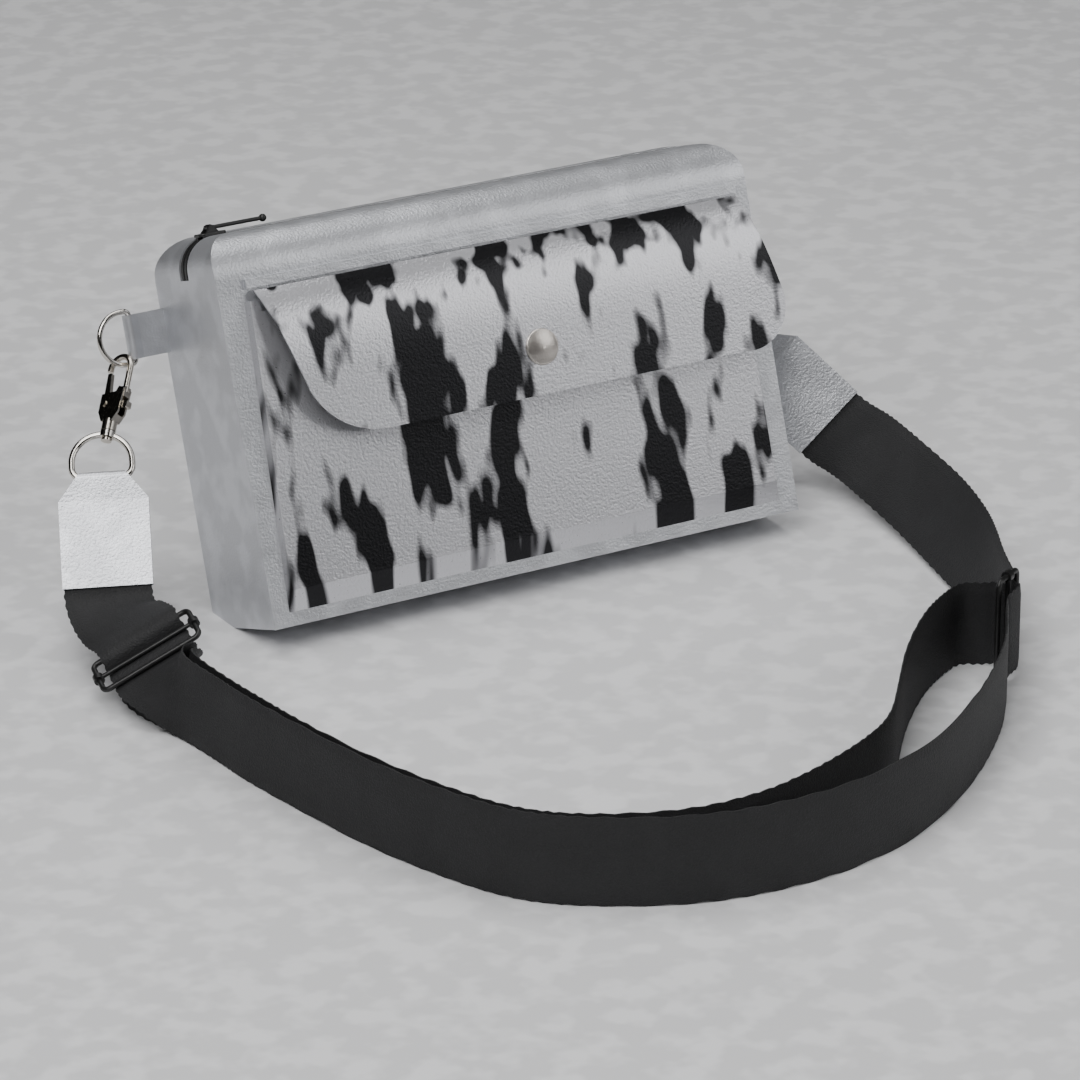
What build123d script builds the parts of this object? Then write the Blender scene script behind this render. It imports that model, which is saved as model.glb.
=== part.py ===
"""Small zip-top shoulder bag with a snap-flap front pocket and a clip-on webbing strap.

Millimetres, +Z up, floor at Z = 0.  The origin is the middle of the flat patch that the bag's base rests on,
-Y is the front and X runs along the zip.  The bag leans back on that patch, so its own axes are tilted:
BAG is the upright bag frame (x along the zip, y through the depth, z up the front face).
"""

from build123d import *
from math import cos, radians, sin
import os

# ---- driving dimensions -------------------------------------------------------------------------------------
WIDTH, DEPTH = 266.0, 58.0      # bag body, side to side and front to back
SIDE_HEIGHT = 151.0             # base to the hem of the side panel
CROWN = 168.0                   # base to the zip, along the straight part of the roof
CROWN_RADIUS = 14.0             # roof end, where the zip turns down to the side hem
LEAN = 18.5                     # backward lean of the body, degrees
BASE_FLAT = 6.0                 # how much of the rear bottom edge is pressed flat by the floor
SKIN = 1.4                      # faux leather with its backing
SLOT = 4.0                      # half width of the opening that the zip fills

COIL_HALF, COIL_GAP = 1.9, 0.6  # one zip coil's width, and half the gap between the coils
TAPE = 12.0                     # half width over both tapes
SLIDER_X = -117.5               # closed slider, at the left end of the zip

POCKET_LEFT, POCKET_RIGHT = -123.0, 124.0
POCKET_LOW, POCKET_HIGH = 6.0, 142.0
POCKET_DEPTH, POCKET_SKIN = 8.0, 1.2
FLAP_ROOT = 144.0               # height of the flap's fold
HINGE_Y = -DEPTH / 2 - 2.6      # depth of the flap's fold line
FLAP_SKIN, FLAP_LINING = 1.0, 0.6
SNAP_X, SNAP_Z = 10.0, 96.0
SNAP_CAP_RADIUS = 8.0

RING_WIRE, RING_ARC = 1.15, 11.4
RING_BAR_X, RING_ARC_X = 149.0, 153.0
RING_Y, RING_Z = 27.5, 130.3
RING_TAB_WIDTH = 19.0
HOOK_X = 156.4                  # where the clasp hangs on the D-ring's lower arm

HOOK_WIRE, HOOK_BEND = 1.4, 5.4
HOOK_CROWN = 29.9               # centre of the hook's bend above the swivel collar
LOOP_WIRE, LOOP_HALF, LOOP_DROP, LOOP_CORNER = 1.4, 12.9, 20.0, 5.0
WEB_WIDTH, WEB_THICK = 38.0, 1.4
TAB_LENGTH, TAB_HALF, TAB_NECK, TAB_FLARE = 50.0, 19.2, 9.5, 12.5
FOLD_TO_BAR = 2.6               # fold edge of a strap tab to the bar of its loop
EYE_TO_COLLAR = 1.7             # middle of the swivel's eye to the clasp's collar
LEFT_BAR, LEFT_WEB_START = (-181.0, 16.1, 70.4), (-191.8, -7.9, 30.3)
RIGHT_BAR, RIGHT_WEB_START = (159.8, 32.6, 57.0), (182.7, 3.3, 27.4)
LEFT_DIP = (-198, -32, 24.5)    # the left webbing between its tab and the adjuster
ADJUSTER_HALF, ADJUSTER_PITCH, ADJUSTER_WIRE, ADJUSTER_BAR = 21.8, 9.0, 1.2, 1.0

os.makedirs("parts", exist_ok=True)

lean = radians(LEAN)
BASE_RISE = DEPTH / 2 * sin(lean) - BASE_FLAT
PATCH_FRONT = BASE_RISE / sin(lean) * cos(lean)
PATCH_REAR = DEPTH / 2 * cos(lean) + BASE_FLAT / cos(lean) * sin(lean)
BAG = Plane(
    origin=(0, -(PATCH_FRONT + PATCH_REAR) / 2, BASE_RISE), x_dir=(1, 0, 0), z_dir=(0, sin(lean), cos(lean))
)


def on_bag(plane):
    """A plane given in the upright bag frame, moved to where the leaning bag is."""
    return Plane(BAG.location * plane.location)


def bag_point(x, y, z):
    return BAG.from_local_coords(Vector(x, y, z))


def finish(part, name):
    """Names one finished piece and writes it."""
    part.label = name
    export_step(part, f"parts/{name}.step")
    return part


def across(vector, axis):
    """The part of vector that is square to axis, as a unit vector."""
    axis = axis.normalized()
    return (vector - axis * vector.dot(axis)).normalized()


# ---- bag body -----------------------------------------------------------------------------------------------
def bag_volume(inset, floor):
    """The whole bag as one solid, inset from its outside all round and cut floor above its underside."""
    half, roof = DEPTH / 2 - inset, CROWN - inset
    with BuildPart() as volume:
        with BuildSketch(on_bag(Plane.YZ)):
            with BuildLine():
                Line((-half, floor), (half, floor))
                Line((half, floor), (half, SIDE_HEIGHT - 1))
                back = TangentArc((half, SIDE_HEIGHT - 1), (SLOT, roof), tangent=(0, 1))
                Line(back @ 1, (-SLOT, roof))
                front = TangentArc((-half, SIDE_HEIGHT - 1), (-SLOT, roof), tangent=(0, 1))
                Line(front @ 0, (-half, floor))
            make_face()
        extrude(amount=WIDTH / 2 - inset, both=True)
        side, radius = WIDTH / 2 - inset, CROWN_RADIUS - inset
        corner = roof - radius
        with BuildSketch(on_bag(Plane.XZ)):
            with BuildLine():
                Polyline((-side, corner), (-side, -DEPTH), (side, -DEPTH), (side, corner))
                CenterArc((side - radius, corner), radius, 0, 90)
                Line((side - radius, roof), (radius - side, roof))
                CenterArc((radius - side, corner), radius, 90, 90)
            make_face()
        extrude(amount=DEPTH, both=True, mode=Mode.INTERSECT)
        with Locations((0, 0, floor - DEPTH)):
            Box(2 * WIDTH, 4 * DEPTH, 2 * DEPTH, mode=Mode.SUBTRACT)
    return volume.part


def slab(x_range, y_range, z_range):
    """A box between two corners of the upright bag frame."""
    sizes = [high - low for low, high in (x_range, y_range, z_range)]
    corner = Location((x_range[0], y_range[0], z_range[0]))
    return Solid.make_box(*sizes).moved(BAG.location * corner)


FAR = 400.0
EVERYWHERE = (-FAR, FAR)
outer = bag_volume(0, 0)
above_base = bag_volume(0, SKIN)
inner = bag_volume(SKIN, SKIN)
left_side = slab((-FAR, -WIDTH / 2 + SKIN), EVERYWHERE, (-FAR, SIDE_HEIGHT))
right_side = slab((WIDTH / 2 - SKIN, FAR), EVERYWHERE, (-FAR, SIDE_HEIGHT))

with BuildPart() as base_panel:
    add(outer)
    add(above_base, mode=Mode.SUBTRACT)
finish(base_panel.part, "base_panel")

for gusset_name, side_box in (("left_gusset", left_side), ("right_gusset", right_side)):
    with BuildPart() as gusset:
        add(above_base)
        add(inner, mode=Mode.SUBTRACT)
        add(side_box, mode=Mode.INTERSECT)
    finish(gusset.part, gusset_name)

front_half = slab(EVERYWHERE, (-FAR, -SLOT), EVERYWHERE)
back_half = slab(EVERYWHERE, (SLOT, FAR), EVERYWHERE)
for panel_name, half_box in (("front_panel", front_half), ("back_panel", back_half)):
    with BuildPart() as panel:
        add(above_base)
        add(inner, mode=Mode.SUBTRACT)
        add(left_side, mode=Mode.SUBTRACT)
        add(right_side, mode=Mode.SUBTRACT)
        add(half_box, mode=Mode.INTERSECT)
    finish(panel.part, panel_name)

LINING_GAP, LINING_SKIN = 1.6, 0.8
with BuildPart() as lining:
    add(bag_volume(SKIN + LINING_GAP, SKIN + 0.3))
    add(bag_volume(SKIN + LINING_GAP + LINING_SKIN, SKIN + 0.3 + LINING_SKIN), mode=Mode.SUBTRACT)
    add(slab(EVERYWHERE, EVERYWHERE, (SIDE_HEIGHT - 4, FAR)), mode=Mode.SUBTRACT)
finish(lining.part, "lining")

# ---- zip ----------------------------------------------------------------------------------------------------
TAPE_TOP, TAPE_BOTTOM = SKIN + 0.3, SKIN + 1.1
COIL_HEIGHTS, TAPE_HEIGHTS = (SIDE_HEIGHT + 0.1, FAR), (SIDE_HEIGHT - 3.5, FAR)
for side_name, sign in (("front", -1), ("back", 1)):
    tape_band = sorted((sign * (COIL_GAP + COIL_HALF), sign * TAPE))
    with BuildPart() as zip_tape:
        add(bag_volume(TAPE_TOP, TAPE_TOP))
        add(bag_volume(TAPE_BOTTOM, TAPE_BOTTOM), mode=Mode.SUBTRACT)
        add(slab(EVERYWHERE, tape_band, TAPE_HEIGHTS), mode=Mode.INTERSECT)
    finish(zip_tape.part, f"{side_name}_zip_tape")

    coil_band = sorted((sign * COIL_GAP, sign * (COIL_GAP + COIL_HALF)))
    with BuildPart() as zip_coil:
        add(bag_volume(0.2, 0.2))
        add(bag_volume(TAPE_BOTTOM, TAPE_BOTTOM), mode=Mode.SUBTRACT)
        add(slab(EVERYWHERE, coil_band, COIL_HEIGHTS), mode=Mode.INTERSECT)
    finish(zip_coil.part, f"{side_name}_zip_coil")

with BuildPart() as zip_stops:
    for stop_x in (-WIDTH / 2 + 3.1, WIDTH / 2 - 3.1):
        add(slab((stop_x - 0.55, stop_x + 0.55), (-3.4, 3.4), (SIDE_HEIGHT - 3.4, SIDE_HEIGHT - 1.2)))
finish(zip_stops.part, "zip_stops")

PLATE_LOW = CROWN + 0.15        # underside of the slider's top plate
PLATE_TOP = PLATE_LOW + 1.2
PIN_Z = PLATE_TOP + 2.0         # hinge of the puller
LUG_Y, LUG_THICK, PULL_PIN = 2.2, 1.2, 0.6
with BuildPart() as zip_slider:
    with BuildSketch(on_bag(Plane.XY.offset(PLATE_LOW))):
        with Locations((SLIDER_X, 0)):
            RectangleRounded(13, 8.4, 2.4)
    extrude(amount=PLATE_TOP - PLATE_LOW)
    fillet(zip_slider.edges().group_by(Axis.Z)[-1], 0.4)
    with BuildSketch(on_bag(Plane.XY.offset(CROWN - 5.4))):
        with Locations((SLIDER_X, 0)):
            RectangleRounded(13, 7.6, 2.2)
    extrude(amount=1.3)
    add(slab((SLIDER_X - 6.3, SLIDER_X - 2.5), (-0.45, 0.45), (CROWN - 4.3, PLATE_LOW + 0.2)))
    for flange_low, flange_high in ((2.75, 3.7), (-3.7, -2.75)):
        add(slab((SLIDER_X - 5, SLIDER_X + 5), (flange_low, flange_high), (CROWN - 1.35, PLATE_LOW + 0.2)))
    for lug_sign in (-1, 1):
        lug_plane = Plane.XZ.offset(-lug_sign * LUG_Y - LUG_THICK / 2)
        with BuildSketch(on_bag(lug_plane)):
            with BuildLine():
                Line((SLIDER_X - 3.4, PLATE_TOP - 0.2), (SLIDER_X + 3.4, PLATE_TOP - 0.2))
                Line((SLIDER_X + 3.4, PLATE_TOP - 0.2), (SLIDER_X + 1.3, PIN_Z))
                ThreePointArc((SLIDER_X + 1.3, PIN_Z), (SLIDER_X, PIN_Z + 1.3), (SLIDER_X - 1.3, PIN_Z))
                Line((SLIDER_X - 1.3, PIN_Z), (SLIDER_X - 3.4, PLATE_TOP - 0.2))
            make_face()
        extrude(amount=LUG_THICK)
    with BuildSketch(on_bag(Plane.XZ.offset(-LUG_Y))):
        with Locations((SLIDER_X, PIN_Z)):
            Circle(PULL_PIN)
    extrude(amount=2 * LUG_Y)
finish(zip_slider.part, "zip_slider")

PULL_LENGTH, PULL_ROD, PULL_BALL = 26.0, 0.9, 1.7
with BuildPart() as zip_pull:
    with BuildSketch(on_bag(Plane.XZ.offset(-1.45))):
        with Locations((SLIDER_X, PIN_Z)):
            Circle(1.5)
    extrude(amount=2.9)
    rod_start = bag_point(SLIDER_X + 1.0, 0, PIN_Z)
    with BuildSketch(Plane(origin=rod_start, z_dir=(1, 0, 0))):
        Circle(PULL_ROD)
    extrude(amount=PULL_LENGTH)
    with Locations(bag_point(SLIDER_X + PULL_LENGTH, 0, PIN_Z)):
        Sphere(PULL_BALL)
    with BuildSketch(on_bag(Plane.XZ.offset(-2))):
        with Locations((SLIDER_X, PIN_Z)):
            Circle(PULL_PIN + 0.06)
    extrude(amount=4, mode=Mode.SUBTRACT)
finish(zip_pull.part, "zip_pull")

# ---- front pocket -------------------------------------------------------------------------------------------
FACE = Plane.XZ.offset(DEPTH / 2)       # the front panel's outer face, in the bag frame


def pocket_outline(inset):
    """The pocket's outline on the front face, its sides opening slightly towards the base."""
    with BuildSketch(on_bag(FACE)) as outline:
        with BuildLine():
            Polyline(
                (POCKET_LEFT + inset - 2, POCKET_LOW + inset),
                (POCKET_RIGHT - inset, POCKET_LOW + inset),
                (POCKET_RIGHT - inset, POCKET_HIGH),
                (POCKET_LEFT + inset + 2, POCKET_HIGH),
                close=True,
            )
        make_face()
    return outline.sketch


with BuildPart() as pocket_panel:
    add(pocket_outline(0))
    extrude(amount=POCKET_DEPTH, taper=12)
with BuildPart() as pocket_hollow:
    add(pocket_outline(POCKET_SKIN + 0.4))
    extrude(amount=POCKET_DEPTH - POCKET_SKIN, taper=12)
    add(slab((POCKET_LEFT + 8, POCKET_RIGHT - 8), (-DEPTH / 2 - POCKET_DEPTH + POCKET_SKIN, -DEPTH / 2),
             (POCKET_HIGH - 8, POCKET_HIGH + 8)))
with BuildPart() as pocket_shell:
    add(pocket_panel.part)
    add(pocket_hollow.part, mode=Mode.SUBTRACT)
    add(slab(EVERYWHERE, EVERYWHERE, (POCKET_HIGH - 3, FAR)), mode=Mode.SUBTRACT)
POCKET_FRONT = -DEPTH / 2 - POCKET_DEPTH

# ---- snap fastener: stud on the pocket, socket and cap on the flap --------------------------------------------
FLAP_INNER = POCKET_FRONT - 3.4         # inside face of the flap at the snap
STUD_POST, STUD_HEAD = 1.6, 2.2


def snap_plane(y):
    """A plane square to the snap's axis at bag depth y, facing the front."""
    return Plane(origin=bag_point(SNAP_X, y, SNAP_Z), x_dir=(1, 0, 0), z_dir=BAG.y_dir * -1)


with BuildPart() as pocket_panel_pierced:
    add(pocket_shell.part)
    with BuildSketch(snap_plane(POCKET_FRONT + 4)):
        Circle(STUD_POST + 0.05)
    extrude(amount=8, mode=Mode.SUBTRACT)
finish(pocket_panel_pierced.part, "pocket_panel")

with BuildPart() as snap_post:
    with BuildSketch(snap_plane(POCKET_FRONT + POCKET_SKIN + 0.7)):
        Circle(4.5)
    extrude(amount=0.6)
    with BuildSketch(snap_plane(POCKET_FRONT + POCKET_SKIN + 0.2)):
        Circle(STUD_POST - 0.5)
    extrude(amount=POCKET_SKIN + 0.2)
finish(snap_post.part, "snap_post")

with BuildPart() as snap_stud:
    with BuildSketch(snap_plane(POCKET_FRONT)):
        Circle(4.6)
    extrude(amount=0.6)
    with BuildSketch(snap_plane(POCKET_FRONT - 0.6)):
        Circle(STUD_POST)
    extrude(amount=1.9)
    fillet(snap_stud.faces().sort_by(Axis.Y)[0].edges(), 0.5)
finish(snap_stud.part, "snap_stud")

with BuildPart() as snap_socket:
    with BuildSketch(snap_plane(FLAP_INNER)):
        Circle(5.2)
        Circle(STUD_HEAD + 0.5, mode=Mode.SUBTRACT)
    extrude(amount=-2.4)
    fillet(snap_socket.edges().filter_by(GeomType.CIRCLE).sort_by(SortBy.RADIUS)[-1], 0.4)
finish(snap_socket.part, "snap_socket")

CAP_BASE = FLAP_INNER - FLAP_LINING - FLAP_SKIN
with BuildPart() as snap_cap:
    with BuildSketch(Plane(origin=bag_point(SNAP_X, CAP_BASE, SNAP_Z), x_dir=(1, 0, 0), z_dir=BAG.z_dir)):
        with BuildLine():
            post, post_end, rim = STUD_HEAD - 0.4, FLAP_SKIN + FLAP_LINING + 0.4, SNAP_CAP_RADIUS
            Polyline((0, post_end), (post, post_end), (post, 0), (rim, 0), (rim, -0.35))
            ThreePointArc((rim, -0.35), (rim - 0.2, -0.65), (rim - 0.7, -0.8))
            TangentArc((0, -2.3), (rim - 0.7, -0.8), tangent=(1, 0))
            Line((0, -2.3), (0, post_end))
        make_face()
    revolve(axis=Axis(bag_point(SNAP_X, 0, SNAP_Z), BAG.y_dir))
finish(snap_cap.part, "snap_cap")


# ---- flap ---------------------------------------------------------------------------------------------------
def flap_layer(near, far):
    """A curved sheet between two distances from the flap's inner face, cut to the flap's outline."""
    with BuildPart() as sheet:
        with BuildSketch(on_bag(Plane.YZ)) as profile:
            with BuildLine():
                inside = Spline(
                    (HINGE_Y - near, FLAP_ROOT - 0.6),
                    (FLAP_INNER + 2.2 - near, FLAP_ROOT - 16),
                    (FLAP_INNER - near, SNAP_Z + 8),
                    tangents=[(-0.55, -0.83), (0, -1)],
                )
                straight = Line(inside @ 1, (FLAP_INNER - near, 74))
                step = Line(straight @ 1, (FLAP_INNER - far, 74))
                outside = Spline(
                    (HINGE_Y - far, FLAP_ROOT - 0.6),
                    (FLAP_INNER + 2.2 - far, FLAP_ROOT - 16),
                    (FLAP_INNER - far, SNAP_Z + 8),
                    tangents=[(-0.55, -0.83), (0, -1)],
                )
                Line(step @ 1, outside @ 1)
                Line(outside @ 0, inside @ 0)
            make_face()
        extrude(amount=WIDTH, both=True)
        with BuildSketch(on_bag(FACE)):
            with BuildLine():
                root = Line((-118, FLAP_ROOT), (124, FLAP_ROOT))
                right = Line(root @ 1, (135, 100))
                corner = TangentArc(right @ 1, (112, 75.5), tangent=right % 1)
                hem = Line(corner @ 1, (-70, 75.5))
                bevel = TangentArc(hem @ 1, (-104, 98), tangent=(-1, 0))
                Line(bevel @ 1, root @ 0)
            make_face()
        extrude(amount=DEPTH, mode=Mode.INTERSECT)
        with BuildSketch(snap_plane(0)):
            Circle(STUD_HEAD - 0.35)
        extrude(amount=DEPTH, mode=Mode.SUBTRACT)
    return sheet


finish(flap_layer(0.0, FLAP_LINING).part, "flap_lining")
finish(flap_layer(FLAP_LINING, FLAP_LINING + FLAP_SKIN).part, "flap_panel")

with BuildPart() as flap_root:
    add(slab((-120, 126), (HINGE_Y + 0.6, -DEPTH / 2), (FLAP_ROOT + 0.5, FLAP_ROOT + 4.5)))
finish(flap_root.part, "flap_root")


# ---- D-rings and the tabs that hold them ----------------------------------------------------------------------
def wire_body(path, radius):
    """Round wire along a closed path."""
    with BuildPart() as wire:
        with BuildSketch(Plane(origin=path @ 0, z_dir=path % 0)):
            Circle(radius)
        sweep(path=path)
    return wire.part


RING_BEND = 2.2
with BuildLine(on_bag(Plane.XZ.offset(-RING_Y))) as ring_path:
    Line((-RING_BAR_X, RING_Z - RING_ARC + RING_BEND), (-RING_BAR_X, RING_Z + RING_ARC - RING_BEND))
    CenterArc((-RING_BAR_X - RING_BEND, RING_Z + RING_ARC - RING_BEND), RING_BEND, 0, 90)
    Line((-RING_BAR_X - RING_BEND, RING_Z + RING_ARC), (-RING_ARC_X, RING_Z + RING_ARC))
    CenterArc((-RING_ARC_X, RING_Z), RING_ARC, 90, 180)
    Line((-RING_ARC_X, RING_Z - RING_ARC), (-RING_BAR_X - RING_BEND, RING_Z - RING_ARC))
    CenterArc((-RING_BAR_X - RING_BEND, RING_Z - RING_ARC + RING_BEND), RING_BEND, 270, 90)
left_ring = wire_body(ring_path.wire(), RING_WIRE)
finish(left_ring, "left_d_ring")
finish(mirror(left_ring, about=Plane.YZ), "right_d_ring")

TAB_EYE = 2.9                   # outside radius of the leather round the ring's bar
with BuildPart() as left_ring_tab:
    with BuildSketch(on_bag(Plane.XY.offset(RING_Z - RING_TAB_WIDTH / 2))):
        with BuildLine():
            Line((-WIDTH / 2, RING_Y - 1.4), (-WIDTH / 2, RING_Y + 1.4))
            Line((-WIDTH / 2, RING_Y + 1.4), (-RING_BAR_X + 3.5, RING_Y + 1.4))
            Line((-RING_BAR_X + 3.5, RING_Y + 1.4), (-RING_BAR_X, RING_Y + TAB_EYE))
            ThreePointArc(
                (-RING_BAR_X, RING_Y + TAB_EYE), (-RING_BAR_X - TAB_EYE, RING_Y), (-RING_BAR_X, RING_Y - TAB_EYE)
            )
            Line((-RING_BAR_X, RING_Y - TAB_EYE), (-RING_BAR_X + 3.5, RING_Y - 1.4))
            Line((-RING_BAR_X + 3.5, RING_Y - 1.4), (-WIDTH / 2, RING_Y - 1.4))
        make_face()
        with Locations((-RING_BAR_X, RING_Y)):
            Circle(RING_WIRE + 0.08, mode=Mode.SUBTRACT)
    extrude(amount=RING_TAB_WIDTH)
finish(left_ring_tab.part, "left_ring_tab")
finish(mirror(left_ring_tab.part, about=Plane.YZ), "right_ring_tab")


# ---- clasps, swivel loops and strap tabs ----------------------------------------------------------------------
TRIGGER_PIN = (-3.2, 12.5)      # pivot of the trigger in the clasp's own plane
PIN_RADIUS = 0.8
CHEEK_IN, CHEEK_OUT = 1.7, 2.7


def hook_body(plane):
    """Clasp: collar, forked body, and a round hook that ends at the trigger's tip."""
    axial = Plane(origin=plane.origin, x_dir=plane.x_dir, z_dir=plane.y_dir)
    with BuildPart() as hook:
        with BuildSketch(axial):
            Circle(3.3)
        extrude(amount=5.0)
        with BuildSketch(plane):
            Polygon((-3.0, 4.0), (3.0, 4.0), (5.6, 8.0), (6.5, 19.0), (3.6, 20.0), (2.4, 17.6), (-5.2, 17.0),
                    (-5.4, 8.5), align=None)
        extrude(amount=CHEEK_OUT, both=True)
        with BuildSketch(plane):
            with Locations((0, 12.8)):
                Rectangle(22, 12)
        extrude(amount=CHEEK_IN, both=True, mode=Mode.SUBTRACT)
        with BuildSketch(plane):
            with Locations((5.0, 17.6)):
                Rectangle(3.2, 4.6)
        extrude(amount=CHEEK_IN + 0.2, both=True)
        with BuildSketch(plane):
            with Locations(TRIGGER_PIN):
                Circle(PIN_RADIUS + 0.02)
        extrude(amount=4, both=True, mode=Mode.SUBTRACT)
        with BuildLine(plane) as bend:
            Line((HOOK_BEND, 17.5), (HOOK_BEND, HOOK_CROWN))
            CenterArc((0, HOOK_CROWN), HOOK_BEND, 0, 180)
            Line((-HOOK_BEND, HOOK_CROWN), (-HOOK_BEND, HOOK_CROWN - 1.2))
        start = plane.from_local_coords(Vector(HOOK_BEND, 17.5, 0))
        with BuildSketch(Plane(origin=start, z_dir=plane.y_dir)):
            Circle(HOOK_WIRE)
        sweep(path=bend.wire())
        with BuildSketch(axial):
            Circle(1.1)
        extrude(amount=-3.9)
        with BuildSketch(axial.offset(-3.5)):
            Circle(2.3)
        extrude(amount=-1.1)
    return hook.part


def trigger_body(plane):
    """Sprung gate with its thumb lug; it turns on the pin between the clasp's cheeks."""
    with BuildPart() as trigger:
        with BuildSketch(plane.offset(-1.5)):
            with BuildLine():
                Polyline((-5.3, 10.5), (-1.4, 9.6), (8.2, 10.4), (8.4, 12.6), (-0.6, 14.6), (-3.0, 17.2),
                         (-4.2, HOOK_CROWN - 2.0), (-6.2, HOOK_CROWN - 2.0), (-6.0, 16.0), close=True)
            make_face()
            with Locations(TRIGGER_PIN):
                Circle(PIN_RADIUS + 0.07, mode=Mode.SUBTRACT)
        extrude(amount=1.9)
        with BuildSketch(plane.offset(-1.6)):
            with Locations((7.6, 11.5)):
                RectangleRounded(2.6, 3.2, 0.6)
        extrude(amount=3.2)
    return trigger.part


def pin_body(plane):
    with BuildPart() as pin:
        with BuildSketch(plane.offset(-CHEEK_OUT)):
            with Locations(TRIGGER_PIN):
                Circle(PIN_RADIUS)
        extrude(amount=2 * CHEEK_OUT)
        for head_offset in (CHEEK_OUT, -CHEEK_OUT - 0.5):
            with BuildSketch(plane.offset(head_offset)):
                with Locations(TRIGGER_PIN):
                    Circle(1.4)
            extrude(amount=0.5)
    return pin.part


def spring_body(plane):
    """Torsion spring round the trigger's pin, as the tube that its turns fill."""
    with BuildPart() as spring:
        with BuildSketch(plane.offset(0.5)):
            with Locations(TRIGGER_PIN):
                Circle(1.75)
                Circle(PIN_RADIUS + 0.1, mode=Mode.SUBTRACT)
        extrude(amount=1.0)
    return spring.part


def loop_wire(plane, radius):
    """D-shaped strap loop: half round at the top, with a straight bar at the bottom. y runs down the strap."""
    half, bar = LOOP_HALF, LOOP_DROP
    with BuildLine(plane) as path:
        CenterArc((0, half), half, 180, 180)
        Line((half, half), (half, bar - LOOP_CORNER))
        CenterArc((half - LOOP_CORNER, bar - LOOP_CORNER), LOOP_CORNER, 0, 90)
        Line((half - LOOP_CORNER, bar), (LOOP_CORNER - half, bar))
        CenterArc((LOOP_CORNER - half, bar - LOOP_CORNER), LOOP_CORNER, 90, 90)
        Line((-half, bar - LOOP_CORNER), (-half, half))
    return wire_body(path.wire(), radius)


def swivel_loop(plane, axis, eye_centre):
    """The strap loop with the eye that the clasp's post turns in."""
    eye_plane = Plane(origin=eye_centre - axis * 1.4, z_dir=axis)
    with BuildPart() as loop:
        add(loop_wire(plane, LOOP_WIRE))
        with BuildSketch(eye_plane):
            Circle(3.3)
        extrude(amount=2.8)
        with BuildSketch(eye_plane.offset(-3)):
            Circle(1.18)
        extrude(amount=8, mode=Mode.SUBTRACT)
        with BuildSketch(eye_plane.offset(-3.4)):
            Circle(2.6)
        extrude(amount=3.4, mode=Mode.SUBTRACT)
        with BuildSketch(eye_plane.offset(2.8)):
            Circle(3.6)
        extrude(amount=2.4, mode=Mode.SUBTRACT)
    return loop.part


def strap_tab(plane, loop_plane):
    """Leather tab folded round the loop's bar and sewn to the webbing. y = 0 at the fold, z faces outwards."""
    bar = FOLD_TO_BAR
    side = Plane(origin=plane.origin, x_dir=plane.y_dir, z_dir=plane.x_dir)
    with BuildPart() as tab:
        with BuildSketch(side):
            with BuildLine():
                ThreePointArc((bar, bar), (0, 0), (bar, -bar))
                Polyline((bar, -bar), (TAB_FLARE, -2.0), (TAB_LENGTH, -1.9), (TAB_LENGTH, 1.9),
                         (TAB_FLARE, 2.0), (bar, bar))
            make_face()
        extrude(amount=TAB_HALF + 1, both=True)
        with BuildSketch(plane):
            with BuildLine():
                Polyline((-TAB_NECK, 0), (TAB_NECK, 0), (TAB_HALF, TAB_FLARE), (TAB_HALF, TAB_LENGTH),
                         (-TAB_HALF, TAB_LENGTH), (-TAB_HALF, TAB_FLARE), close=True)
            make_face()
        extrude(amount=4, both=True, mode=Mode.INTERSECT)
        add(loop_wire(loop_plane, LOOP_WIRE + 0.08), mode=Mode.SUBTRACT)
        with BuildSketch(side):
            with Locations((TAB_LENGTH - 7, 0)):
                Rectangle(16, WEB_THICK + 0.3)
        extrude(amount=TAB_HALF + 2, both=True, mode=Mode.SUBTRACT)
    return tab.part


def strap_end(side_name, hang_point, bar_centre, web_start, bar_way, facing):
    """Clasp, loop and tab of one end of the strap, from the D-ring down to where the webbing leaves the tab."""
    down = (web_start - bar_centre).normalized()
    width = across(bar_way, down)
    along = across(bar_centre - hang_point, width)          # down the loop, square to its bar
    arc_centre = bar_centre - along * (LOOP_DROP - LOOP_HALF)
    axis = (hang_point - arc_centre).normalized()           # the swivel's post stands square on the loop's arc
    eye_centre = arc_centre + axis * LOOP_HALF
    collar = eye_centre + axis * EYE_TO_COLLAR
    normal = across(facing, axis)
    hook_plane = Plane(origin=collar, x_dir=axis.cross(normal), z_dir=normal)
    loop_plane = Plane(origin=arc_centre - along * LOOP_HALF, x_dir=width, z_dir=width.cross(along))
    tab_plane = Plane(origin=bar_centre - down * FOLD_TO_BAR, x_dir=width, z_dir=width.cross(down))
    finish(hook_body(hook_plane), f"{side_name}_clasp_hook")
    finish(trigger_body(hook_plane), f"{side_name}_clasp_trigger")
    finish(pin_body(hook_plane), f"{side_name}_clasp_pin")
    finish(spring_body(hook_plane), f"{side_name}_clasp_spring")
    finish(swivel_loop(loop_plane, axis, eye_centre), f"{side_name}_swivel_loop")
    finish(strap_tab(tab_plane, loop_plane), f"{side_name}_strap_tab")
    pivot = hook_plane.from_local_coords(Vector(*TRIGGER_PIN, 0))
    print(side_name, "clasp reach", (hang_point - collar).length, "collar", collar, "axis", axis)
    print(side_name, "trigger pin", pivot, "axis", hook_plane.z_dir)
    webbing_end = tab_plane.origin + down * TAB_LENGTH
    print(side_name, "webbing leaves the tab at", webbing_end, "width", width, "down", down)
    return webbing_end, down, width


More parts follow.
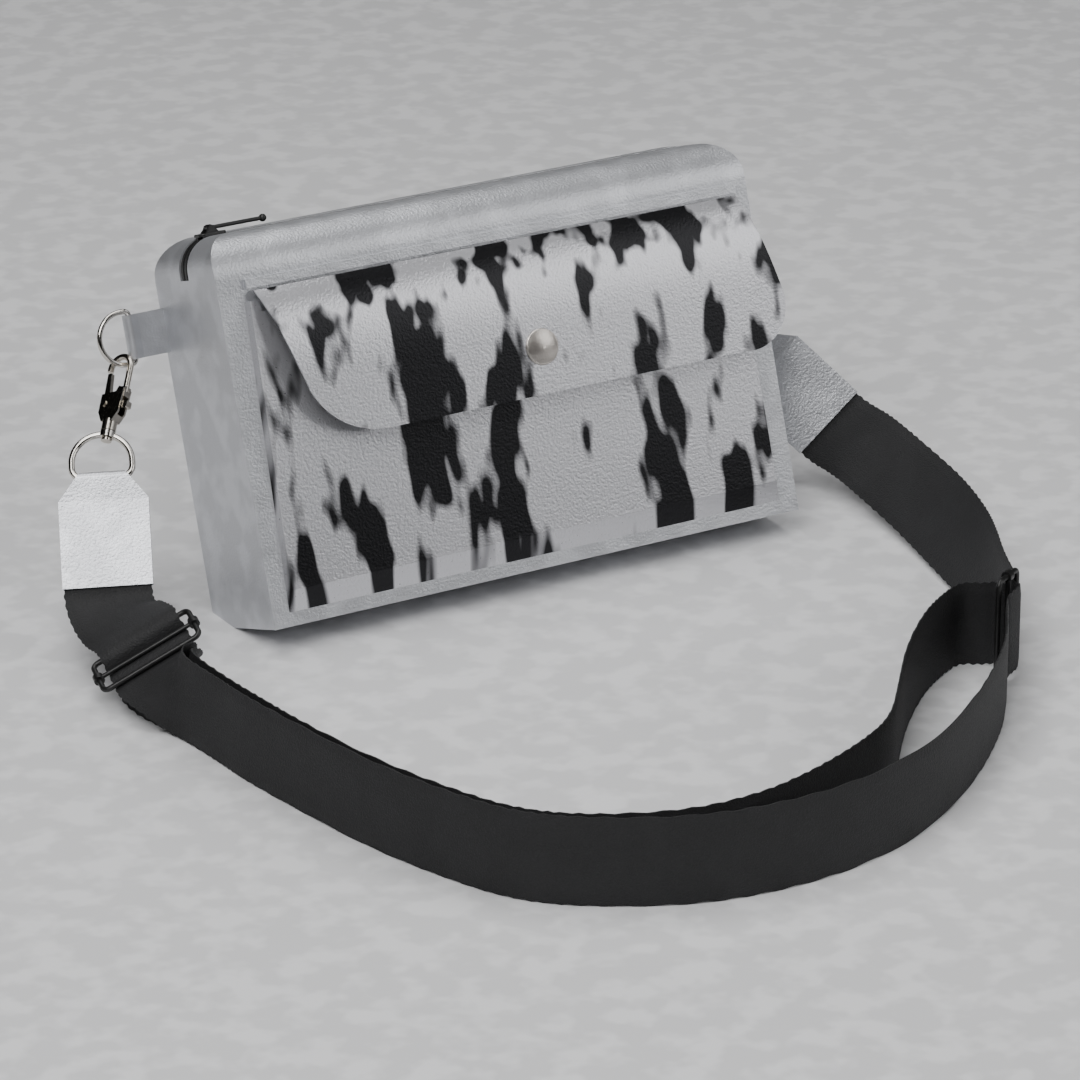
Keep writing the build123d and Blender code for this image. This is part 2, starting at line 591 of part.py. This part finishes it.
left_end, left_down, left_across = strap_end(
    "left", bag_point(-HOOK_X, RING_Y, RING_Z - RING_ARC), Vector(*LEFT_BAR), Vector(*LEFT_WEB_START),
    bar_way=Vector(0.856, -0.517, 0), facing=Vector(-0.90, -0.42, 0.12))
right_end, right_down, right_across = strap_end(
    "right", bag_point(HOOK_X, RING_Y, RING_Z - RING_ARC), Vector(*RIGHT_BAR), Vector(*RIGHT_WEB_START),
    bar_way=Vector(0.708, -0.095, 0.699), facing=Vector(-0.95, -0.3, 0))


# ---- adjusters and webbing ------------------------------------------------------------------------------------
def adjuster(side_name, plane):
    """Wire adjuster: a rounded frame and a separate centre bar. x runs across the webbing, y along it."""
    with BuildLine(plane) as outline:
        half, pitch = ADJUSTER_HALF + ADJUSTER_WIRE, ADJUSTER_PITCH
        FilletPolyline((-half, -pitch), (half, -pitch), (half, pitch), (-half, pitch), radius=2.6, close=True)
    finish(wire_body(outline.wire(), ADJUSTER_WIRE), f"{side_name}_adjuster_frame")
    with BuildPart() as bar:
        with BuildSketch(Plane(origin=plane.origin, z_dir=plane.x_dir)):
            Circle(ADJUSTER_BAR)
        extrude(amount=ADJUSTER_HALF - 0.6, both=True)
        for radius, length, mode in ((ADJUSTER_WIRE + 1.1, 1.6, Mode.ADD), (ADJUSTER_WIRE + 0.06, 2, Mode.SUBTRACT)):
            for end in (-half, half):       # curled ends round the frame's short sides
                with BuildSketch(Plane(origin=plane.origin + plane.x_dir * end, z_dir=plane.y_dir)):
                    Circle(radius)
                extrude(amount=length, both=True, mode=mode)
    finish(bar.part, f"{side_name}_adjuster_bar")


def eased(values):
    """Points on the smooth curve that the route's corner points pull: one beside each corner, one between."""
    smooth = [values[0]]
    for before, corner, after in zip(values, values[1:], values[2:]):
        smooth.append((before + corner) / 2)
        smooth.append(before / 8 + corner * 3 / 4 + after / 8)
    smooth.append((values[-2] + values[-1]) / 2)
    smooth.append(values[-1])
    return smooth


def webbing(name, route, widths, wrapped):
    """Flat strap along a route, each point with the way its width runs; its end is sewn round an adjuster bar."""
    points, across_ways = eased(route), eased(widths)
    with BuildPart() as strap:
        for index, (point, way) in enumerate(zip(points, across_ways)):
            run = points[min(index + 1, len(points) - 1)] - points[max(index - 1, 0)]
            with BuildSketch(Plane(origin=point, x_dir=across(way, run), z_dir=run)):
                Rectangle(WEB_WIDTH, WEB_THICK)
        loft(ruled=True)
        sleeve = Plane(origin=wrapped.origin, z_dir=wrapped.x_dir)
        with BuildSketch(sleeve):
            Circle(ADJUSTER_BAR + 0.1 + WEB_THICK)
        extrude(amount=WEB_WIDTH / 2, both=True)
        with BuildSketch(sleeve):
            Circle(ADJUSTER_BAR + 0.1)
        extrude(amount=WEB_WIDTH, both=True, mode=Mode.SUBTRACT)
    length = sum((after - before).length for before, after in zip(points, points[1:]))
    print(name, "route length", round(length, 1), "points", len(route))
    finish(strap.part, name)


def threaded(plane, *steps):
    """Points in an adjuster's own plane, each given along the webbing and proud of the plane."""
    return [plane.from_local_coords(Vector(0, along, proud)) for along, proud in steps]


UPRIGHT = Vector(0, 0, 1)
left_way = Vector(0.835, -0.277, 0.476)
left_adjuster = Plane(
    origin=(-201.5, -61, 23.5), x_dir=left_way * -1, z_dir=across(Vector(-0.53, -0.10, 0.83), left_way))
right_adjuster = Plane(origin=(122, -221, 21.5), x_dir=(0, 0, -1), z_dir=(-0.5, 0.866, 0))
adjuster("left", left_adjuster)
adjuster("right", right_adjuster)

OVER = ((-13, 2.1), (-9, 2.6), (-6.2, 1.3), (-4.7, -1.6), (-3.6, -4.3), (0, -4.8), (9, -4.9))
inner_route = [left_end - left_down * 14, left_end - left_down * 4, left_end + left_down * 8, Vector(*LEFT_DIP)]
inner_widths = [left_across, left_across, left_across, left_way]
inner_route += threaded(left_adjuster, *OVER)
inner_widths += [left_way] * len(OVER)
inner_route += [*threaded(left_adjuster, (15, -6.1)), Vector(-201.5, -90, 17.8)]
inner_widths += [left_way, left_way + UPRIGHT]
inner_floor = [
    (-202, -98), (-201.5, -131), (-199, -160), (-196.3, -188), (-189.3, -232), (-178.5, -269.5), (-166, -300),
    (-145.5, -319.6), (-110, -336), (-76, -337), (-46, -329), (-17, -317), (7, -303), (30, -275), (52, -248),
    (80, -221), (100, -208), (111, -203), (118.5, -209),
]
inner_route += [Vector(x, y, 19.1) for x, y in inner_floor]
inner_widths += [UPRIGHT] * len(inner_floor)
inner_route += threaded(right_adjuster, (-1.9, 6), (-1.8, 0))
inner_widths += [UPRIGHT] * 2
webbing("webbing_inner", inner_route, inner_widths, right_adjuster)

outer_route = [right_end - right_down * 14, right_end - right_down * 4, right_end + right_down * 6]
outer_widths = [right_across, right_across, right_across]
outer_rise = [
    ((185, -21, 24), (0.72, -0.11, 0.68)), ((185, -46, 19.5), (0.743, -0.137, 0.655)),
    ((181, -78, 17), (0.743, -0.137, 0.655)), ((173, -107, 17), (0.651, -0.032, 0.758)),
    ((163, -137, 18), (0.526, 0.085, 0.846)), ((155, -160, 19), (0.369, 0.209, 0.906)),
]
outer_route += [Vector(*point) for point, way in outer_rise]
outer_widths += [Vector(*way) for point, way in outer_rise]
outer_route += [Vector(146, -184, 19.1)]
outer_route += threaded(right_adjuster, *OVER)
outer_widths += [UPRIGHT] * (1 + len(OVER))
outer_floor = [
    (116, -229), (96, -258), (75, -280), (48, -304), (8, -332), (-35, -347), (-75, -349), (-111, -342),
    (-147, -322), (-168, -302), (-181, -271), (-192, -233), (-199, -189), (-204, -150), (-204.5, -131),
    (-207, -98),
]
outer_route += [Vector(x, y, 19.1) for x, y in outer_floor]
outer_widths += [UPRIGHT] * len(outer_floor)
outer_route += [Vector(-205.5, -89, 23), *threaded(left_adjuster, (15, -1.2), (9, -2.4), (0, -1.8))]
outer_widths += [left_way + UPRIGHT * 0.7, left_way, left_way, left_way]
webbing("webbing_outer", outer_route, outer_widths, left_adjuster)
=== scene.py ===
import math
import bpy, bmesh
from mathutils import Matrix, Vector


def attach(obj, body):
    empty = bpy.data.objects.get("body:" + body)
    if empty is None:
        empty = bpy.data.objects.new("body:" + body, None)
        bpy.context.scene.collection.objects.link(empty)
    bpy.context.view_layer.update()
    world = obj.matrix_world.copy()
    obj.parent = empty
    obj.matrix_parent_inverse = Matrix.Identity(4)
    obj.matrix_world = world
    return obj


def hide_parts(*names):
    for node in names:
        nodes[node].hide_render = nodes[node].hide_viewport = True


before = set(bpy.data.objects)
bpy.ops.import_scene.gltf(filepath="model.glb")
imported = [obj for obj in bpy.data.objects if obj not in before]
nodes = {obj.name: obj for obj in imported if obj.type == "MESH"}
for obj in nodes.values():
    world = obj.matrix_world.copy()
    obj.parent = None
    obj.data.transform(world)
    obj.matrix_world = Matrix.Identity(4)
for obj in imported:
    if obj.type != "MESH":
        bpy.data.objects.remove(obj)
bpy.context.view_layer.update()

# Camera, in metres and degrees.
CAMERA_PLACE = (-1.1707, -1.9822, 0.9483)
AIM = Vector((-0.02186, -0.08, 0.04183))
VIEW_ANGLE = 10.97

# The webbing, in metres.
MM = 1 / 1000
HALF_WIDTH = 0.019
BAND_HALF = 0.0187
SCALLOP = 0.0003
SCALLOP_PITCH = 0.004
STRIPS = 9
FACE_HALF = 0.0007
EDGE_HALF = 0.0003

# Materials and floor.
PATCH_SCALE = 60
BUMP_DEPTH = 0.0005
SHADE = 0.85
FLOOR_REACH = 6


def link(o):
    bpy.context.scene.collection.objects.link(o)


def look_at(place):
    return (AIM - Vector(place)).to_track_quat("-Z", "Y").to_euler()


cam = bpy.data.objects.new("camera", bpy.data.cameras.new("camera"))
link(cam)
cam.location = CAMERA_PLACE
cam.rotation_euler = look_at(cam.location)
cam.data.angle = math.radians(VIEW_ANGLE)
bpy.context.scene.camera = cam

# Each run of webbing has its middle line, in millimetres, and the direction
# of its width at each of those points.
UP = (0, 0, 1)
L, R = (0.83, -0.28, 0.48), (0.73, -0.12, 0.68)
INNER = [
    (-188.5, -0.6, 42.5), (-190.8, -5.6, 34.1), (-193.5, -11.6, 24.1),
    (-198, -32, 24.5), (-200.2, -48.8, 28.3), (-201.2, -52.7, 27.8),
    (-201, -55.2, 26), (-199.8, -56.3, 23.2), (-198.6, -57.1, 20.7),
    (-199, -60.5, 19.4), (-200.6, -69.1, 17.2), (-201.1, -74.7, 14.8),
    (-201.5, -90, 17.8), (-202, -98, 19.1), (-201.5, -131, 19.1),
    (-199, -160, 19.1), (-196.3, -188, 19.1), (-189.3, -232, 19.1),
    (-178.5, -269.5, 19.1), (-166, -300, 19.1), (-145.5, -319.6, 19.1),
    (-110, -336, 19.1), (-76, -337, 19.1), (-46, -329, 19.1),
    (-17, -317, 19.1), (7, -303, 19.1), (30, -275, 19.1),
    (52, -248, 19.1), (80, -221, 19.1), (100, -208, 19.1),
    (111, -203, 19.1), (118.5, -209, 19.1), (120.6, -214.9, 21.5),
    (123.6, -220.1, 21.5),
]
INNER_WAYS = (
    [(0.87, -0.49, 0.06)] * 3 + [L] * 9 + [(0.49, -0.16, 0.86)] + [UP] * 21
)
OUTER = [
    (175.9, 12, 36.2), (180.7, 5.8, 30), (185.5, -0.3, 23.7),
    (185, -21, 24), (185, -46, 19.5), (181, -78, 17),
    (173, -107, 17), (163, -137, 18), (155, -160, 19),
    (146, -184, 19.1), (132.2, -212.7, 21.5), (128.5, -214.2, 21.5),
    (126.7, -216.8, 21.5), (126.9, -220, 21.5), (127.3, -222.9, 21.5),
    (124.4, -225.2, 21.5), (116.7, -229.7, 21.5), (116, -229, 19.1),
    (96, -258, 19.1), (75, -280, 19.1), (48, -304, 19.1),
    (8, -332, 19.1), (-35, -347, 19.1), (-75, -349, 19.1),
    (-111, -342, 19.1), (-147, -322, 19.1), (-168, -302, 19.1),
    (-181, -271, 19.1), (-192, -233, 19.1), (-199, -189, 19.1),
    (-204, -150, 19.1), (-204.5, -131, 19.1), (-207, -98, 19.1),
    (-205.5, -89, 23), (-203.6, -75.2, 19), (-201.9, -69.3, 19.4),
    (-200.6, -60.8, 22),
]
OUTER_WAYS = (
    [R] * 6
    + [(0.65, -0.03, 0.76), (0.53, 0.09, 0.85), (0.37, 0.21, 0.91)]
    + [UP] * 24 + [(0.57, -0.19, 0.8)] + [L] * 3
)


def smooth(points):
    """Returns the points along the NURBS spline that these points control."""
    data = bpy.data.curves.new("route", "CURVE")
    data.dimensions = "3D"
    spline = data.splines.new("NURBS")
    spline.points.add(len(points) - 1)
    for p, q in zip(spline.points, points):
        p.co = (*q, 1)
    spline.order_u = 3
    spline.use_endpoint_u = True
    spline.resolution_u = 12
    o = bpy.data.objects.new("route", data)
    me = bpy.data.meshes.new_from_object(o)
    out = [v.co.copy() for v in me.vertices]
    bpy.data.objects.remove(o)
    return out


def webbing(name, node, points, ways):
    """Makes a flat band with scalloped edges along one route."""
    mid = [Vector(p) * MM for p in points]
    line = smooth(mid)
    side = smooth(
        [m + Vector(w).normalized() * HALF_WIDTH for m, w in zip(mid, ways)]
    )
    bm = bmesh.new()
    rings, run = [], 0.0
    for i, p in enumerate(line):
        if i:
            run += (p - line[i - 1]).length
        w = (side[i] - p).normalized()
        ahead, behind = line[min(i + 1, len(line) - 1)], line[max(i - 1, 0)]
        n = (ahead - behind).normalized().cross(w).normalized()
        half = BAND_HALF + SCALLOP * math.sin(run * 2 * math.pi / SCALLOP_PITCH)
        ring = []
        for sign, order in ((1, range(STRIPS + 1)), (-1, range(STRIPS, -1, -1))):
            for k in order:
                thick = FACE_HALF if 0 < k < STRIPS else EDGE_HALF
                across = half * (2 * k / STRIPS - 1)
                ring.append(bm.verts.new(p + w * across + n * sign * thick))
        rings.append(ring)
    for a, b in zip(rings, rings[1:]):
        for k in range(len(a)):
            m = (k + 1) % len(a)
            bm.faces.new((a[k], a[m], b[m], b[k]))
    bm.faces.new(rings[0])
    bm.faces.new(rings[-1])
    bmesh.ops.recalc_face_normals(bm, faces=bm.faces)
    me = bpy.data.meshes.new(name)
    bm.to_mesh(me)
    o = bpy.data.objects.new(name, me)
    link(o)
    me.materials.append(looks["webbing"])
    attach(o, "bag")
    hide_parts(node)


def look(name, color, metallic, rough, scale, bump, second=None,
         stretch=(1, 1, 1), spots=(0.45, 0.6)):
    """Makes a material with a fine grain and wide patches of two colours."""
    m = bpy.data.materials.new(name)
    m.use_nodes = True
    nt = m.node_tree
    b = nt.nodes["Principled BSDF"]
    b.inputs["Metallic"].default_value = metallic
    co = nt.nodes.new("ShaderNodeTexCoord")
    mp = nt.nodes.new("ShaderNodeMapping")
    mp.inputs["Scale"].default_value = stretch
    nt.links.new(co.outputs["Object"], mp.inputs["Vector"])
    fine = nt.nodes.new("ShaderNodeTexNoise")
    wide = nt.nodes.new("ShaderNodeTexNoise")
    fine.inputs["Scale"].default_value = scale
    wide.inputs["Scale"].default_value = PATCH_SCALE
    nt.links.new(co.outputs["Object"], fine.inputs["Vector"])
    nt.links.new(mp.outputs["Vector"], wide.inputs["Vector"])
    ramp = nt.nodes.new("ShaderNodeValToRGB")
    low, high = ramp.color_ramp.elements
    low.position, high.position = spots
    low.color = (*(second or [c * SHADE for c in color]), 1)
    high.color = (*color, 1)
    nt.links.new(wide.outputs["Fac"], ramp.inputs["Fac"])
    nt.links.new(ramp.outputs["Color"], b.inputs["Base Color"])
    rg = nt.nodes.new("ShaderNodeMapRange")
    rg.inputs["To Min"].default_value = rough * 0.8
    rg.inputs["To Max"].default_value = rough * 1.2
    nt.links.new(fine.outputs["Fac"], rg.inputs["Value"])
    nt.links.new(rg.outputs["Result"], b.inputs["Roughness"])
    bp = nt.nodes.new("ShaderNodeBump")
    bp.inputs["Strength"].default_value = bump
    bp.inputs["Distance"].default_value = BUMP_DEPTH
    nt.links.new(fine.outputs["Fac"], bp.inputs["Height"])
    nt.links.new(bp.outputs["Normal"], b.inputs["Normal"])
    return m


# Slot: colour, metallic, roughness, grain scale, bump, then any print.
LOOKS = {
    "silver_leather": ((0.62, 0.63, 0.66), 0.7, 0.36, 900, 0.35),
    "printed_leather": ((0.62, 0.62, 0.65), 0.7, 0.3, 900, 0.3,
                        (0.015, 0.015, 0.017), (1, 1, 0.12), (0.44, 0.5)),
    "lining_fabric": ((0.1, 0.1, 0.11), 0, 0.85, 1500, 0.4),
    "zip_tape": ((0.02, 0.02, 0.022), 0, 0.8, 1800, 0.5),
    "zip_coil": ((0.02, 0.02, 0.02), 0, 0.45, 1200, 0.3),
    "black_metal": ((0.02, 0.02, 0.02), 0.3, 0.35, 700, 0.1),
    "webbing": ((0.012, 0.012, 0.013), 0, 0.7, 1400, 0.8),
    "nickel": ((0.72, 0.69, 0.64), 1, 0.18, 500, 0.05),
    "clasp_nickel": ((0.6, 0.56, 0.5), 1, 0.2, 500, 0.05),
    "satin_nickel": ((0.62, 0.58, 0.54), 1, 0.35, 900, 0.1),
    "spring_steel": ((0.45, 0.45, 0.45), 1, 0.3, 900, 0.1),
}
looks = {slot: look(slot, *values) for slot, values in LOOKS.items()}
webbing("strap_inner", "webbing_inner", INNER, INNER_WAYS)
webbing("strap_outer", "webbing_outer", OUTER, OUTER_WAYS)

PRINTED = {"flap_panel", "pocket_panel"}
SILVER = {
    "front_panel", "back_panel", "base_panel", "flap_root",
    "left_gusset", "right_gusset", "left_ring_tab", "right_ring_tab",
    "left_strap_tab", "right_strap_tab",
}
# The first text that a node's name contains gives its slot.
NAMED = (
    ("lining", "lining_fabric"), ("zip_tape", "zip_tape"),
    ("zip_coil", "zip_coil"), ("spring", "spring_steel"),
    ("snap", "satin_nickel"), ("d_ring", "nickel"), ("swivel", "nickel"),
    ("clasp", "clasp_nickel"), ("", "black_metal"),
)


def slot_of(name):
    if name in PRINTED:
        return "printed_leather"
    if name in SILVER:
        return "silver_leather"
    return next(slot for text, slot in NAMED if text in name)


for name, o in nodes.items():
    if name.startswith("webbing"):
        continue
    finish = looks[slot_of(name)]
    if not o.material_slots:
        o.data.materials.append(finish)
    for s in o.material_slots:
        s.material = finish

me = bpy.data.meshes.new("floor")
corners = [(-1, -1), (1, -1), (1, 1), (-1, 1)]
me.from_pydata(
    [(x * FLOOR_REACH, y * FLOOR_REACH, 0) for x, y in corners],
    [], [(0, 1, 2, 3)],
)
floor = bpy.data.objects.new("floor", me)
link(floor)
me.materials.append(look("floor", (0.8, 0.8, 0.81), 0, 0.6, 40, 0.02))

# Name, place, size in metres, watts.
LAMPS = (
    ("key", (-1.2, -1.0, 1.8), 1.4, 38),
    ("fill", (1.4, -1.4, 1.2), 1.6, 16),
    ("top", (0, 0.3, 2.0), 1.6, 24),
)
for name, place, size, watts in LAMPS:
    lamp = bpy.data.lights.new(name, "AREA")
    lamp.size, lamp.energy = size, watts
    o = bpy.data.objects.new(name, lamp)
    link(o)
    o.location = place
    o.rotation_euler = look_at(place)
